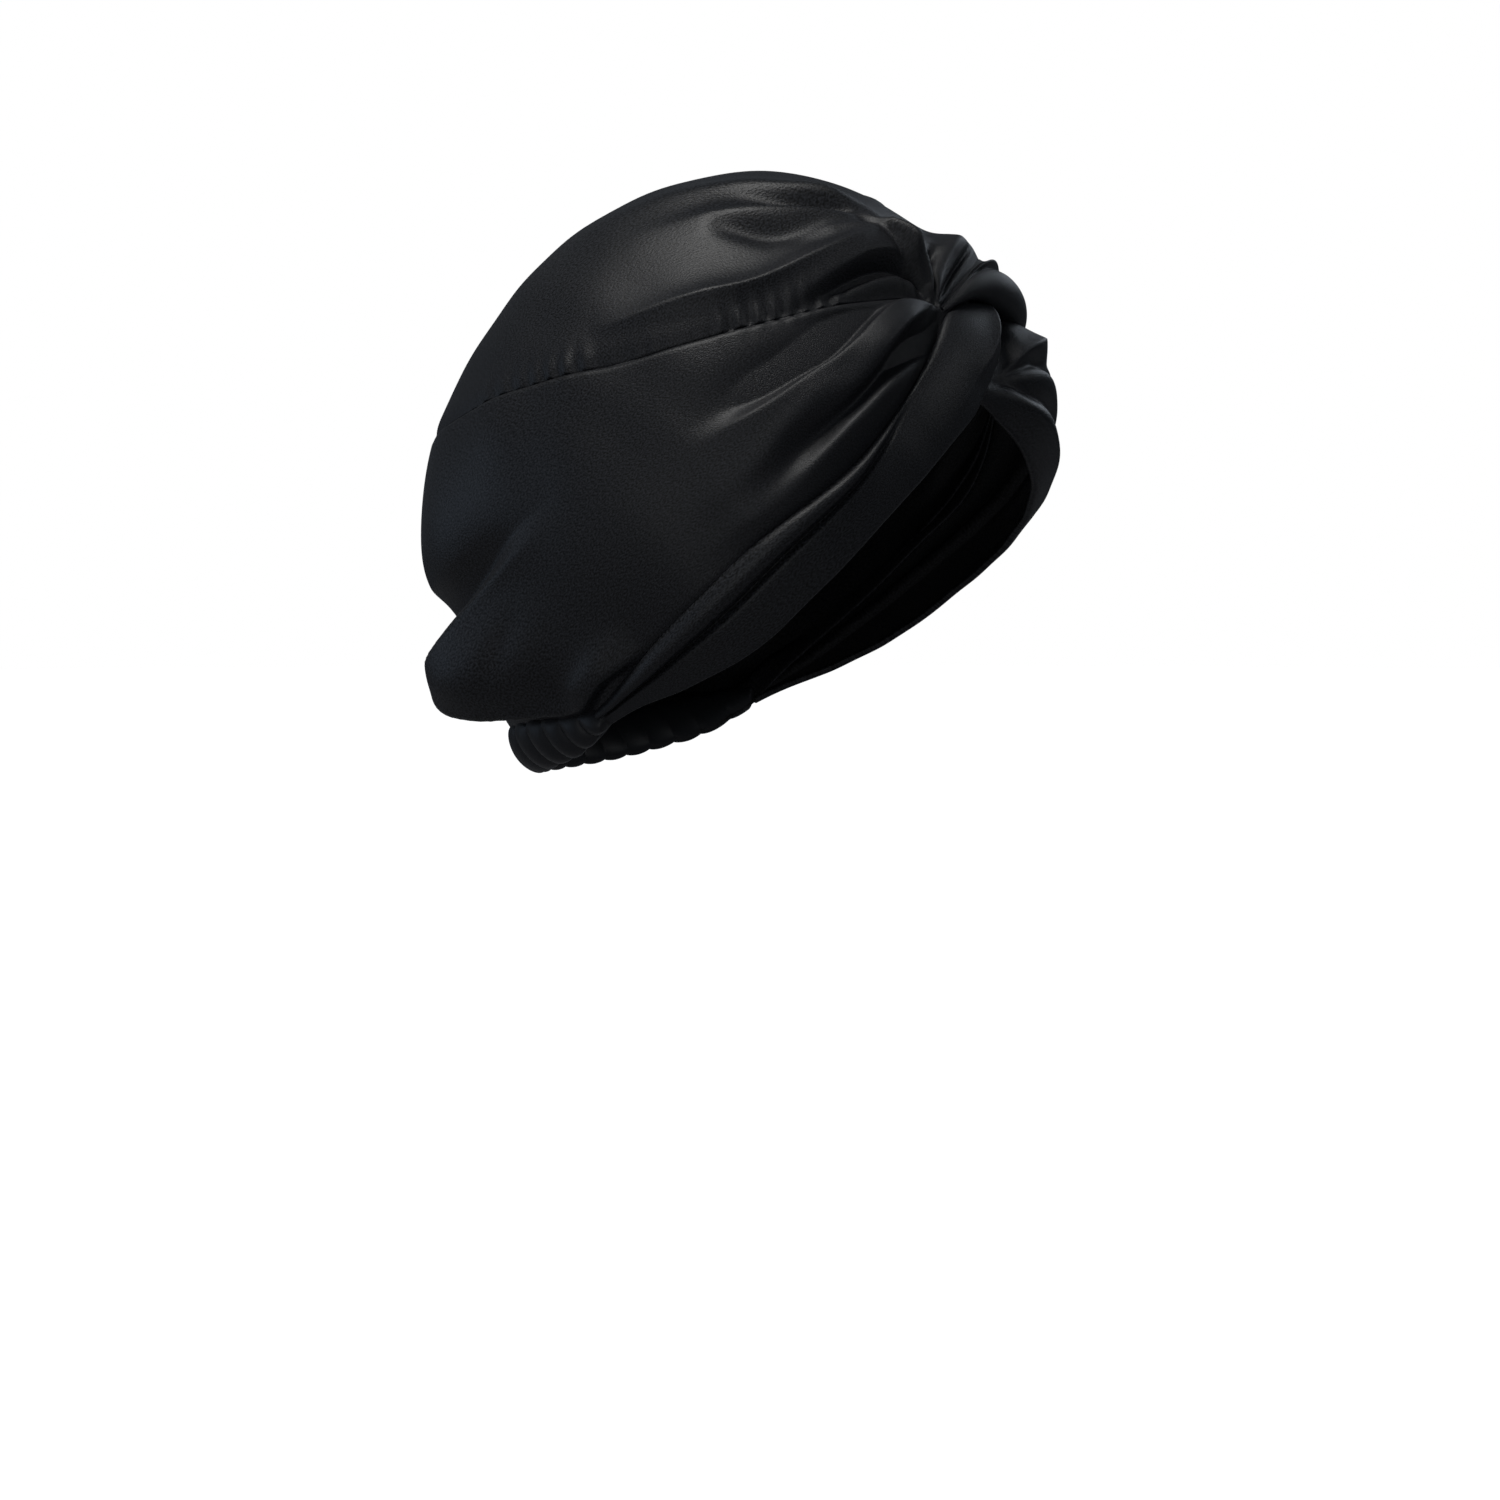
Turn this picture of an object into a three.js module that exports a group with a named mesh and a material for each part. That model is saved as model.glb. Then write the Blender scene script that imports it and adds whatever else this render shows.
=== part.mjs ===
// Twist-front satin turban, in the form it keeps on a head: a crown panel sewn to two side panels,
// whose front ends cross in a twist over the forehead and run back down the face edge as folded bands
// to a gathered casing at the nape.
//
// Millimetres, +Z up. The face looks along -Y and the wearer's right is -X. The origin is the point
// inside the crown where the top of the head touches it.
//
// Every wall is a sheet laid over the head form: a direction from the head's centre gives a place on
// the head, and a lift in millimetres gives the height of the cloth above it. Azimuth is counted in
// degrees from the front, positive to the wearer's right, and elevation from the horizontal.
import * as THREE from "three";

// Driving dimensions
const HEAD = { halfWidth: 78, front: 85, back: 99, top: 100, low: 115 };
const EASE = 3.6;
const WALL = 1.7;
const LEAST_CLEARANCE = 0.4;
const BAND_WALL = 2.4;
const SEAT_HEIGHT = HEAD.top + EASE - WALL;
const SEAM_GAP = 0.25;
const SEAM_DIP = 1.1;
const SEAM_DIP_WIDTH = 4.5;
const TUCK_LIFT = 2.6;
const TUCK_WIDTH = 10;
const CASING = { endAz: 114.5, el: -47.2, lift: 4.0, halfHeight: 7.2, halfThickness: 3.1 };
const GATHERS = { count: 20, depth: 1.0, slant: 0.55 };

const SATIN = { color: 0x0d0e12, roughness: 0.42, metalness: 0 };

// The seam between the crown and the side panels, the same on both sides
const SEAM = [
  { az: 0, el: 42.6 },
  { az: 16, el: 42.0 },
  { az: 41, el: 42.3 },
  { az: 70, el: 37.0 },
  { az: 100, el: 29.8 },
  { az: 130, el: 22.3 },
  { az: 155, el: 13.6 },
  { az: 172, el: 9.0 },
  { az: 180, el: 9.0 },
];

// Lower edge of the right side panel: tucked under the face band, then sewn to the nape casing
const RIGHT_HEM = [
  { az: 11.2, el: 37.4 },
  { az: 17, el: 35.4 },
  { az: 25, el: 28.8 },
  { az: 40, el: 14.2 },
  { az: 51, el: 2.6 },
  { az: 67, el: -10.2 },
  { az: 83, el: -24.6 },
  { az: 100, el: -37.6 },
  { az: 108, el: -42.2 },
  { az: 180, el: -42.2 },
];

// Lower edge of the left side panel, whose front end goes on over the right band as a roll
const LEFT_HEM = [
  { az: -180, el: -42.2 },
  { az: -108, el: -42.2 },
  { az: -100, el: -37.6 },
  { az: -83, el: -24.6 },
  { az: -67, el: -10.2 },
  { az: -51, el: 2.6 },
  { az: -41, el: 14.4 },
  { az: -32, el: 26.2 },
  { az: -22, el: 33.6 },
  { az: -10, el: 34.0 },
  { az: 0, el: 33.6 },
  { az: 8, el: 35.6 },
  { az: 10.8, el: 37.4 },
];

// Where the cloth stands off the head: half-widths in degrees, height in millimetres
const BULGES = [
  { bulge: "slouch at the back", az: 180, el: -4, wide: 60, tall: 23, height: 8.5, both: false },
  { bulge: "pouch over the casing", az: 147, el: -31, wide: 19, tall: 11, height: 18.5, both: true },
  { bulge: "hollow between the pouches", az: 180, el: -33, wide: 12, tall: 14, height: -7, both: false },
  { bulge: "twist", az: -12, el: 37, wide: 15, tall: 13, height: 12.8, both: false },
  { bulge: "flange above the roll", az: -6, el: 49, wide: 9, tall: 5, height: 2.5, both: false },
  { bulge: "roll over the band", az: 4, el: 38.5, wide: 9, tall: 5, height: 4.5, both: false },
];

// Folds run from a place at the twist to the place where they die out. Bow lifts the middle of the
// run, above and below are half-widths at the wide end, all in millimetres. A crease has a height
// below zero.
const FOLDS = [
  { fold: "strip edge", from: [16, 39], to: [42, 70], bow: 1, above: 14, below: 3, height: 4, both: false },
  { fold: "crown ridge", from: [18, 48], to: [134, 58], bow: 5, above: 11, below: 9, height: 3, both: true },
  { fold: "crown pleat", from: [19, 50], to: [108, 56], bow: 2, above: 8, below: 8, height: 2.4, both: true },
  { fold: "upper fold", from: [18, 45], to: [106, 37], bow: 5, above: 15, below: 6, height: 5.2, both: true },
  { fold: "crease", from: [18, 43.5], to: [70, 39], bow: 1, above: 4, below: 4, height: -2.6, both: true },
  { fold: "side ridge", from: [17, 40], to: [74, 17], bow: 4, above: 6, below: 12, height: 5, both: true },
  { fold: "side hollow", from: [18, 38], to: [58, 20], bow: 0, above: 7, below: 7, height: -3, both: true },
  { fold: "low ridge", from: [22, 35], to: [72, -2], bow: 2, above: 9, below: 9, height: 3.4, both: true },
  { fold: "low hollow", from: [20, 36], to: [62, 10], bow: 0, above: 6, below: 6, height: -2.4, both: true },
  { fold: "fan pleat", from: [16, 40], to: [2, 60], bow: 0, above: 5, below: 5, height: -3, both: false },
  { fold: "fan crease", from: [16, 40], to: [-16, 52], bow: 0, above: 4, below: 6, height: -3, both: false },
];
const FOLD_START_WIDTH = 0.28;
const FOLD_RISE = 0.16;

// The right face band from its tongue under the roll to the casing: azimuth and elevation of its upper
// and lower edge, the lifts of its upper edge, middle and lower edge, and the depth of its long crease
const RIGHT_BAND = [
  { upper: [1, 41.2], lower: [-13, 39.0], lifts: [4.6, 6.0, 6.4], groove: 0 },
  { upper: [16, 38.5], lower: [-3, 31.6], lifts: [5.4, 8.6, 8.4], groove: 0 },
  { upper: [23, 34.0], lower: [6.5, 26.0], lifts: [6.2, 8.8, 7.2], groove: 0 },
  { upper: [29, 28.6], lower: [14.5, 20.4], lifts: [6.0, 7.4, 5.4], groove: 0.3 },
  { upper: [35.5, 22.4], lower: [23, 14.2], lifts: [5.6, 6.2, 4.2], groove: 0.8 },
  { upper: [43.5, 14.0], lower: [33.5, 5.6], lifts: [5.4, 5.2, 3.6], groove: 1.2 },
  { upper: [53, 4.0], lower: [43.5, -5.2], lifts: [5.4, 4.6, 3.4], groove: 1.4 },
  { upper: [67.5, -8.0], lower: [56.5, -19.0], lifts: [5.6, 4.2, 3.2], groove: 1.5 },
  { upper: [83, -22.4], lower: [71, -32.0], lifts: [6.0, 4.2, 3.2], groove: 1.5 },
  { upper: [97, -33.4], lower: [88, -39.4], lifts: [6.4, 4.8, 3.4], groove: 1.4 },
  { upper: [107, -40.0], lower: [101, -43.0], lifts: [6.6, 5.8, 4.0], groove: 1.0 },
  { upper: [113, -43.0], lower: [109.5, -45.8], lifts: [6.4, 6.2, 4.4], groove: 0.6 },
];

// The left face band from its root under the right band's tongue, with a full fold beside the twist
const LEFT_BAND = [
  { upper: [8, 30.0], lower: [16, 22.6], lifts: [2.8, 2.8, 2.8], groove: 0 },
  { upper: [0, 31.6], lower: [12, 19.6], lifts: [3.0, 4.0, 2.8], groove: 0 },
  { upper: [-9, 35.4], lower: [7, 16.0], lifts: [3.4, 10.0, 3.2], groove: 0 },
  { upper: [-19, 34.4], lower: [0, 11.4], lifts: [7.4, 17.0, 4.0], groove: 0.3 },
  { upper: [-30, 26.4], lower: [-9, 6.0], lifts: [6.4, 15.5, 4.8], groove: 0.8 },
  { upper: [-41, 13.6], lower: [-21, -0.8], lifts: [6.8, 12.5, 5.2], groove: 1.2 },
  { upper: [-53, 4.0], lower: [-36, -9.4], lifts: [6.4, 9.5, 5.2], groove: 1.4 },
  { upper: [-67.5, -8.0], lower: [-54, -20.6], lifts: [6.0, 6.6, 4.4], groove: 1.5 },
  { upper: [-83, -22.4], lower: [-71, -32.0], lifts: [6.0, 4.2, 3.2], groove: 1.5 },
  { upper: [-97, -33.4], lower: [-88, -39.4], lifts: [6.4, 4.8, 3.4], groove: 1.4 },
  { upper: [-107, -40.0], lower: [-101, -43.0], lifts: [6.6, 5.8, 4.0], groove: 1.0 },
  { upper: [-113, -43.0], lower: [-109.5, -45.8], lifts: [6.4, 6.2, 4.4], groove: 0.6 },
];

const DEGREE = Math.PI / 180;
const MEAN_RADIUS = 90;
const DEGREES_PER_MM = 1 / (MEAN_RADIUS * DEGREE);

function smooth(t) {
  const x = Math.min(1, Math.max(0, t));
  return x * x * (3 - 2 * x);
}

function turn(az) {
  return az - 360 * Math.round(az / 360);
}

function direction(az, el) {
  const flat = Math.cos(el * DEGREE);
  return new THREE.Vector3(
    -Math.sin(az * DEGREE) * flat,
    -Math.cos(az * DEGREE) * flat,
    Math.sin(el * DEGREE),
  );
}

function anglesOf(d) {
  const az = Math.atan2(-d.x, -d.y) / DEGREE;
  return { az, el: Math.asin(Math.min(1, Math.max(-1, d.z))) / DEGREE };
}

// Smooth curve through one column of a table, at a place counted in rows
function alongRows(rows, column, place) {
  const last = rows.length - 1;
  const i = Math.min(last - 1, Math.max(0, Math.floor(place)));
  const t = place - i;
  const [before, from, to, after] = [i - 1, i, i + 1, i + 2].map((k) =>
    column(rows[Math.min(last, Math.max(0, k))]),
  );
  const leave = (to - before) / 2;
  const arrive = (after - from) / 2;
  return (
    from * (2 * t ** 3 - 3 * t ** 2 + 1) +
    leave * (t ** 3 - 2 * t ** 2 + t) +
    to * (3 * t ** 2 - 2 * t ** 3) +
    arrive * (t ** 3 - t ** 2)
  );
}

// Elevation of a line at an azimuth, straight between its rows
function elevationAt(line, az) {
  const next = line.findIndex((row) => row.az >= az);
  if (next <= 0) return next === 0 ? line[0].el : line[line.length - 1].el;
  const [low, high] = [line[next - 1], line[next]];
  return THREE.MathUtils.mapLinear(az, low.az, high.az, low.el, high.el);
}

function headRadius(d) {
  const along = d.y < 0 ? HEAD.front : HEAD.back;
  const up = d.z > 0 ? HEAD.top : HEAD.low;
  return 1 / Math.hypot(d.x / HEAD.halfWidth, d.y / along, d.z / up);
}

function placeAt(d, lift) {
  const p = d.clone().multiplyScalar(headRadius(d) + lift);
  p.z -= SEAT_HEIGHT;
  return p;
}

function bulgeLift({ az, el, wide, tall, height, both }, at) {
  const one = (centre) => {
    const across = (turn(at.az - centre) * Math.cos(el * DEGREE)) / wide;
    const up = (at.el - el) / tall;
    return height * Math.exp(-across * across - up * up);
  };
  return both ? one(az) + one(-az) : one(az);
}

function foldLift({ from, to, bow, above, below, height, both }, d) {
  const start = direction(...from);
  const end = direction(...to);
  const upward = end.clone().cross(start).normalize();
  const ahead = start.clone().cross(upward).normalize();
  const span = start.angleTo(end);
  const one = (q) => {
    const along = Math.atan2(q.dot(ahead), q.dot(start)) / span;
    if (along <= 0 || along >= 1) return 0;
    const across = Math.asin(q.dot(upward)) * MEAN_RADIUS - bow * 4 * along * (1 - along);
    const width = (across > 0 ? above : below) * (FOLD_START_WIDTH + (1 - FOLD_START_WIDTH) * along);
    const envelope = smooth(along / FOLD_RISE) * smooth((1 - along) / (1 - FOLD_RISE));
    return height * envelope * Math.exp(-((across / width) ** 2));
  };
  return both ? one(d) + one(new THREE.Vector3(-d.x, d.y, d.z)) : one(d);
}

// Height of the outer face of the crown and side panels above the head
function shellLift(d) {
  const at = anglesOf(d);
  const fromSeam = (at.el - elevationAt(SEAM, Math.abs(at.az))) / DEGREES_PER_MM;
  const dip = SEAM_DIP * Math.exp(-((fromSeam / SEAM_DIP_WIDTH) ** 2));
  const bulges = BULGES.reduce((sum, bulge) => sum + bulgeLift(bulge, at), 0);
  const folds = FOLDS.reduce((sum, fold) => sum + foldLift(fold, d), 0);
  return Math.max(WALL + LEAST_CLEARANCE, EASE + bulges + folds - dip);
}

function geometryFrom(points, triangles) {
  let volume = 0;
  for (const [a, b, c] of triangles) volume += points[a].dot(points[b].clone().cross(points[c]));
  const index = triangles.flatMap(([a, b, c]) => (volume < 0 ? [a, c, b] : [a, b, c]));
  const geometry = new THREE.BufferGeometry().setFromPoints(points);
  geometry.setIndex(index);
  geometry.computeVertexNormals();
  return geometry;
}

// A closed sheet between two faces, both given over the same grid of u and v from 0 to 1
function sheetGeometry(columns, rows, outerFace, innerFace) {
  const points = [];
  const triangles = [];
  const stride = rows + 1;
  const innerStart = (columns + 1) * stride;
  for (const face of [outerFace, innerFace])
    for (let i = 0; i <= columns; i++)
      for (let j = 0; j <= rows; j++) points.push(face(i / columns, j / rows));
  const quad = (a, b, c, d) => triangles.push([a, b, c], [a, c, d]);
  const at = (i, j) => i * stride + j;
  for (let i = 0; i < columns; i++)
    for (let j = 0; j < rows; j++) {
      const corners = [at(i, j), at(i + 1, j), at(i + 1, j + 1), at(i, j + 1)];
      const centre = outerFace((i + 0.5) / columns, (j + 0.5) / rows);
      const miss = ([a, , c]) => points[a].clone().lerp(points[c], 0.5).distanceTo(centre);
      const turned = [...corners.slice(1), corners[0]];
      const [a, b, c, d] = miss(corners) < miss(turned) ? corners : turned;
      quad(a, b, c, d);
      triangles.push(...[[a, c, b], [a, d, c]].map((triangle) => triangle.map((k) => k + innerStart)));
    }
  const edge = (a, b) => quad(b, a, a + innerStart, b + innerStart);
  for (let i = 0; i < columns; i++) {
    edge(at(i, 0), at(i + 1, 0));
    edge(at(i + 1, rows), at(i, rows));
  }
  for (let j = 0; j < rows; j++) {
    edge(at(columns, j), at(columns, j + 1));
    edge(at(0, j + 1), at(0, j));
  }
  return geometryFrom(points, triangles);
}

// A closed tube of rings, each given by its place along the tube and a turn round it
function tubeGeometry(stations, sides, ringPoint) {
  const points = [];
  const triangles = [];
  for (let i = 0; i <= stations; i++)
    for (let k = 0; k < sides; k++) points.push(ringPoint(i / stations, (2 * Math.PI * k) / sides));
  const at = (i, k) => i * sides + (k % sides);
  for (let i = 0; i < stations; i++)
    for (let k = 0; k < sides; k++) {
      const [a, b, c, d] = [at(i, k), at(i + 1, k), at(i + 1, k + 1), at(i, k + 1)];
      triangles.push([a, b, c], [a, c, d]);
    }
  for (let k = 1; k < sides - 1; k++) {
    triangles.push([at(0, 0), at(0, k), at(0, k + 1)]);
    triangles.push([at(stations, 0), at(stations, k + 1), at(stations, k)]);
  }
  return geometryFrom(points, triangles);
}

const turban = new THREE.Group();

function addPiece(name, geometry) {
  const mesh = new THREE.Mesh(geometry, new THREE.MeshStandardMaterial(SATIN));
  mesh.name = name;
  turban.add(mesh);
}

// Crown panel: cross lines from the right seam over the top to the left seam, from the twist back
const CROWN = { columns: 29, rows: 34, frontAz: 12, backAz: 172, crowding: 1.15 };

function crownDirection(u, v) {
  const az = CROWN.frontAz + (CROWN.backAz - CROWN.frontAz) * v ** CROWN.crowding;
  const el = elevationAt(SEAM, az) + SEAM_GAP * DEGREES_PER_MM;
  const right = direction(az, el);
  const left = direction(-az, el);
  const span = right.angleTo(left);
  return right
    .multiplyScalar(Math.sin((1 - u) * span))
    .addScaledVector(left, Math.sin(u * span))
    .normalize();
}

function addCrown() {
  const face = (inset) => (u, v) => {
    const d = crownDirection(u, v);
    return placeAt(d, shellLift(d) - inset);
  };
  addPiece("crown_top", sheetGeometry(CROWN.columns, CROWN.rows, face(0), face(WALL)));
}

// Side panels: from the seam down to the hem, round one side from the twist to the middle of the back.
// The hem lies flat where it is tucked under a face band, and so does the right panel's front end.
const SIDE_ROWS = 12;
const RIGHT_SIDE = { columns: 35, fromAz: 11.2, toAz: 179.85, tuckFrom: 0, tuckTo: 116, flatTo: 15 };
const LEFT_SIDE = { columns: 43, fromAz: -179.85, toAz: 10.8, tuckFrom: -116, tuckTo: -38, flatTo: -200 };
const TUCK_FADE = 8;

function addSidePanel(name, side, hem) {
  const face = (inset) => (u, v) => {
    const az = side.fromAz + (side.toAz - side.fromAz) * u;
    const seam = elevationAt(SEAM, Math.abs(az)) - SEAM_GAP * DEGREES_PER_MM;
    const low = elevationAt(hem, az);
    const d = direction(az, seam + (low - seam) * v);
    const above = ((seam - low) * (1 - v)) / DEGREES_PER_MM;
    const tucked = smooth((az - side.tuckFrom) / TUCK_FADE) * smooth((side.tuckTo - az) / TUCK_FADE);
    const flatEnd = smooth((side.flatTo - az) / TUCK_FADE + 1);
    const share = Math.max(flatEnd, tucked * (1 - smooth(above / TUCK_WIDTH)));
    const lift = shellLift(d);
    return placeAt(d, lift + (Math.min(lift, TUCK_LIFT) - lift) * share - inset);
  };
  addPiece(name, sheetGeometry(side.columns, SIDE_ROWS, face(0), face(WALL)));
}

// Face bands: folded cloth between an upper and a lower edge
const BAND = { columns: 30, rows: 8, edgeRounding: 0.7, roundedArch: 0.6, grooveAt: 0.4, grooveWidth: 0.12 };

function addBand(name, table) {
  const rows = table.length - 1;
  const face = (depth) => (u, v) => {
    const at = (column) => alongRows(table, column, u * rows);
    const upper = [0, 1].map((k) => at((row) => row.upper[k]));
    const lower = [0, 1].map((k) => at((row) => row.lower[k]));
    const [first, middle, last] = [0, 1, 2].map((k) => at((row) => row.lifts[k]));
    const d = direction(...[0, 1].map((k) => upper[k] + (lower[k] - upper[k]) * v));
    const arch = 4 * v * (1 - v);
    const lift = first + (last - first) * v + (middle - (first + last) / 2) * arch;
    const groove = at((row) => row.groove) * Math.exp(-(((v - BAND.grooveAt) / BAND.grooveWidth) ** 2));
    const rounding = BAND.edgeRounding * (1 - smooth(arch / BAND.roundedArch));
    return placeAt(d, lift - groove - depth * BAND_WALL - rounding * (1 - 2 * depth));
  };
  addPiece(name, sheetGeometry(BAND.columns, BAND.rows, face(0), face(1)));
}

// Nape casing: a gathered tube round the back of the neck
const CASING_MESH = { stations: 80, sides: 8 };

function addCasing() {
  const point = (u, around) => {
    const az = CASING.endAz + 2 * (180 - CASING.endAz) * u;
    const gather = Math.cos(2 * Math.PI * GATHERS.count * u + GATHERS.slant * Math.PI * Math.sin(around));
    const round = CASING.halfThickness + GATHERS.depth * gather * Math.max(0, Math.cos(around));
    const d = direction(az, CASING.el + CASING.halfHeight * Math.sin(around) * DEGREES_PER_MM);
    return placeAt(d, CASING.lift + round * Math.cos(around));
  };
  addPiece("nape_casing", tubeGeometry(CASING_MESH.stations, CASING_MESH.sides, point));
}

addCrown();
addSidePanel("side_panel_right", RIGHT_SIDE, RIGHT_HEM);
addSidePanel("side_panel_left", LEFT_SIDE, LEFT_HEM);
addBand("band_right", RIGHT_BAND);
addBand("band_left", LEFT_BAND);
addCasing();

export default turban;
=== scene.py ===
import bpy
import numpy as np
from mathutils import Matrix, Vector


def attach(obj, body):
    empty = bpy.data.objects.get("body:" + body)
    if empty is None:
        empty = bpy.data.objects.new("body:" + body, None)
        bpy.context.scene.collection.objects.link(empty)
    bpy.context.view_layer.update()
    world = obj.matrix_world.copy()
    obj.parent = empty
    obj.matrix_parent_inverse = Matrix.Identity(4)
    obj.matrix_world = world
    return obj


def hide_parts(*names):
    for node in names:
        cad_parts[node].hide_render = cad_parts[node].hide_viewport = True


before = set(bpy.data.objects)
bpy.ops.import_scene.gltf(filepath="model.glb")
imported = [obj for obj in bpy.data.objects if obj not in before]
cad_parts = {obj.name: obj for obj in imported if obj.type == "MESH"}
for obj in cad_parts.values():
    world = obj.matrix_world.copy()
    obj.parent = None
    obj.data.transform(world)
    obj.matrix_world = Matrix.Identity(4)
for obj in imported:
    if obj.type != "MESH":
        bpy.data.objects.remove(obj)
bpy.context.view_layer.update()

# Crown: one oval of black satin that closes the top, pleated into the twist at the front.
# Its edge is sewn to the side panels, and the seam thread draws small puckers into the cloth.

# The hollow inside, in millimetres from its middle; azimuth 0 is the front and 90 the right side
HOLLOW = {"half_width": 78.0, "front": 85.0, "back": 99.0, "top": 100.0, "low": 115.0}
EASE = 3.6
SEAT_HEIGHT = 101.9
MM = 0.001
CLOTH_THICKNESS = 1.2
LEAST_LIFT = 2.1
ARC_RADIUS = 95.0
MM_PER_DEGREE = ARC_RADIUS * np.pi / 180


def smooth(t):
    t = np.clip(t, 0, 1)
    return t * t * (3 - 2 * t)


def through(x, *columns):
    """A smooth curve through one or more columns of a table."""
    x = np.asarray(x, float)
    y = np.stack([np.asarray(c, float) for c in columns], -1)
    slope = np.gradient(y, x, axis=0)

    def at(q):
        q = np.asarray(q, float)
        i = np.clip(np.searchsorted(x, q) - 1, 0, len(x) - 2)
        step = x[i + 1] - x[i]
        t = np.clip((q - x[i]) / step, 0, 1)[..., None]
        step = step[..., None]
        return (
            y[i] * (2 * t**3 - 3 * t**2 + 1)
            + slope[i] * step * (t**3 - 2 * t**2 + t)
            + y[i + 1] * (3 * t**2 - 2 * t**3)
            + slope[i + 1] * step * (t**3 - t**2)
        )

    return at


def direction(az, el):
    az, el = np.radians(az), np.radians(el)
    return np.stack([-np.sin(az) * np.cos(el), -np.cos(az) * np.cos(el), np.sin(el)], -1)


def angles_of(d):
    az = np.degrees(np.arctan2(-d[..., 0], -d[..., 1]))
    return az, np.degrees(np.arcsin(np.clip(d[..., 2], -1, 1)))


def place(d, lift):
    """Points of the cloth at a lift above the hollow, in the part's frame."""
    depth = np.where(d[..., 1] < 0, HOLLOW["front"], HOLLOW["back"])
    height = np.where(d[..., 2] > 0, HOLLOW["top"], HOLLOW["low"])
    radius = 1 / np.sqrt(
        (d[..., 0] / HOLLOW["half_width"]) ** 2 + (d[..., 1] / depth) ** 2 + (d[..., 2] / height) ** 2
    )
    p = d * (radius + lift)[..., None]
    p[..., 2] -= SEAT_HEIGHT
    return p


# Broad swells of the cloth: azimuth, elevation, width and height in degrees, lift, also on the left
BULGES = [
    ("slouch", 180, -4, 60, 23, 8.5, False),
    ("pouch", 147, -31, 19, 11, 18.5, True),
    ("hollow between pouches", 180, -33, 12, 14, -7.0, False),
    ("twist", -12, 37, 15, 13, 12.8, False),
    ("flange", -5, 50.5, 10, 4.5, 4.2, False),
]


def bulge_lift(az, el):
    total = np.zeros_like(az)
    for _, at_az, at_el, wide, tall, lift, both in BULGES:
        for side in (1, -1) if both else (1,):
            turn = (az - side * at_az + 180) % 360 - 180
            across = turn * np.cos(np.radians(at_el)) / wide
            total += lift * np.exp(-(across**2) - ((el - at_el) / tall) ** 2)
    return total


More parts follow.
